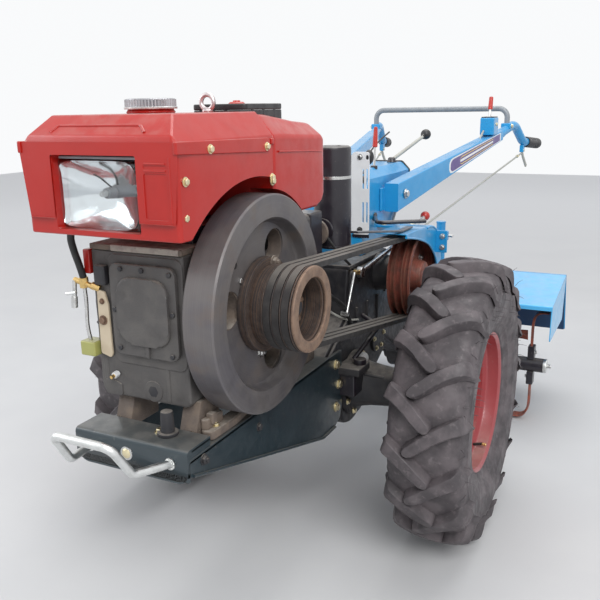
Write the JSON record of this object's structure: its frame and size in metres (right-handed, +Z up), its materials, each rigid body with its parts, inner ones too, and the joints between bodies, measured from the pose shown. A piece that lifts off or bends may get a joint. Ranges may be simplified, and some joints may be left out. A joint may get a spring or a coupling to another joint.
{
  "type": "walking tractor with rotary tiller",
  "caption": "Two-wheeled walking tractor: single-cylinder engine with flywheel and belt drive, long handles, lugged tyres and a rotary tiller with depth wheel.",
  "frame": {"origin": "middle of the plan outline, on the ground under the wheels", "axes": "+Z up, -Y forwards, +X to the machine's own left side, where flywheel and belts are"},
  "size_m": [0.964, 2.1402, 0.9932],
  "materials": {
    "front_plate": "gloss paint",
    "side_rails": "gloss paint",
    "bumper": "gloss paint",
    "engine_block": "painted casting",
    "engine_cover": "rough casting",
    "cylinder_head": "rough casting",
    "fuel_tank": "gloss paint",
    "lamp_housing": "gloss paint",
    "headlamp": "clear moulded lens",
    "filler_box": "satin",
    "fuel_cap": "satin",
    "lifting_eye": "bare steel",
    "muffler": "gloss paint",
    "muffler_guard": "gloss paint",
    "fuel_pump": "rough casting",
    "gearbox": "painted casting",
    "axle_housings": "rough casting",
    "handle_console": "gloss paint",
    "handle_beams": "gloss paint",
    "handle_tubes": "gloss paint",
    "grips": "matt",
    "handle_bow": "gloss paint",
    "gear_lever": "bare steel",
    "side_lever": "bare steel",
    "steering_levers": "painted casting",
    "throttle_box": "gloss paint",
    "control_rods": "bare steel",
    "belt_guard": "gloss paint",
    "guard_rod": "gloss paint",
    "drive_belts": "matt",
    "tiller_case": "rough casting",
    "tiller_cover": "gloss paint",
    "tail_fork": "gloss paint",
    "flywheel": "rough casting",
    "drive_pulley": "rough casting",
    "clutch_drum": "rough casting",
    "left_tyre": "matt lugged tread",
    "left_rim": "gloss paint",
    "left_axle": "bare steel",
    "right_tyre": "matt lugged tread",
    "right_rim": "gloss paint",
    "right_axle": "bare steel",
    "rotor_shaft": "gloss paint",
    "tines": "gloss paint",
    "tail_wheel": "gloss paint"
  },
  "bodies": {
    "chassis": {"front_plate": "front_plate", "side_rails": "side_rails", "bumper": "bumper", "engine_block": "engine_block", "engine_cover": "engine_cover", "cylinder_head": "cylinder_head", "fuel_tank": "fuel_tank", "lamp_housing": "lamp_housing", "headlamp": "headlamp", "filler_box": "filler_box", "fuel_cap": "fuel_cap", "lifting_eye": "lifting_eye", "muffler": "muffler", "muffler_guard": "muffler_guard", "fuel_pump": "fuel_pump", "gearbox": "gearbox", "axle_housings": "axle_housings", "handle_console": "handle_console", "handle_beams": "handle_beams", "handle_tubes": "handle_tubes", "grips": "grips", "handle_bow": "handle_bow", "gear_lever": "gear_lever", "side_lever": "side_lever", "steering_levers": "steering_levers", "throttle_box": "throttle_box", "control_rods": "control_rods", "belt_guard": "belt_guard", "guard_rod": "guard_rod", "drive_belts": "drive_belts", "tiller_case": "tiller_case", "tiller_cover": "tiller_cover", "tail_fork": "tail_fork"},
    "crankshaft": {"flywheel": "flywheel", "drive_pulley": "drive_pulley"},
    "clutch": {"clutch_drum": "clutch_drum"},
    "left_wheel": {"left_tyre": "left_tyre", "left_rim": "left_rim", "left_axle": "left_axle"},
    "right_wheel": {"right_tyre": "right_tyre", "right_rim": "right_rim", "right_axle": "right_axle"},
    "rotor": {"rotor_shaft": "rotor_shaft", "tines": "tines"},
    "tail_wheel": {"tail_wheel": "tail_wheel"}
  },
  "joints": [
    {"name": "crank_turn", "type": "hinge", "parent": "chassis", "child": "crankshaft", "pos_m": [0.122, -0.72808, 0.632], "axis": [1, 0, 0], "continuous": true},
    {"name": "clutch_turn", "type": "hinge", "parent": "chassis", "child": "clutch", "pos_m": [0.193, -0.08808, 0.556], "axis": [1, 0, 0], "continuous": true},
    {"name": "left_wheel_turn", "type": "hinge", "parent": "chassis", "child": "left_wheel", "pos_m": [0.37, -0.26308, 0.32], "axis": [1, 0, 0], "continuous": true},
    {"name": "right_wheel_turn", "type": "hinge", "parent": "chassis", "child": "right_wheel", "pos_m": [-0.37, -0.26308, 0.32], "axis": [1, 0, 0], "continuous": true},
    {"name": "rotor_turn", "type": "hinge", "parent": "chassis", "child": "rotor", "pos_m": [0, 0.42692, 0.18], "axis": [1, 0, 0], "continuous": true},
    {"name": "tail_wheel_turn", "type": "hinge", "parent": "chassis", "child": "tail_wheel", "pos_m": [0, 0.85692, 0.112], "axis": [1, 0, 0], "continuous": true}
  ],
  "couplings": [
    {"joint": "clutch_turn", "follows": "crank_turn", "ratio": 0.67961}
  ]
}
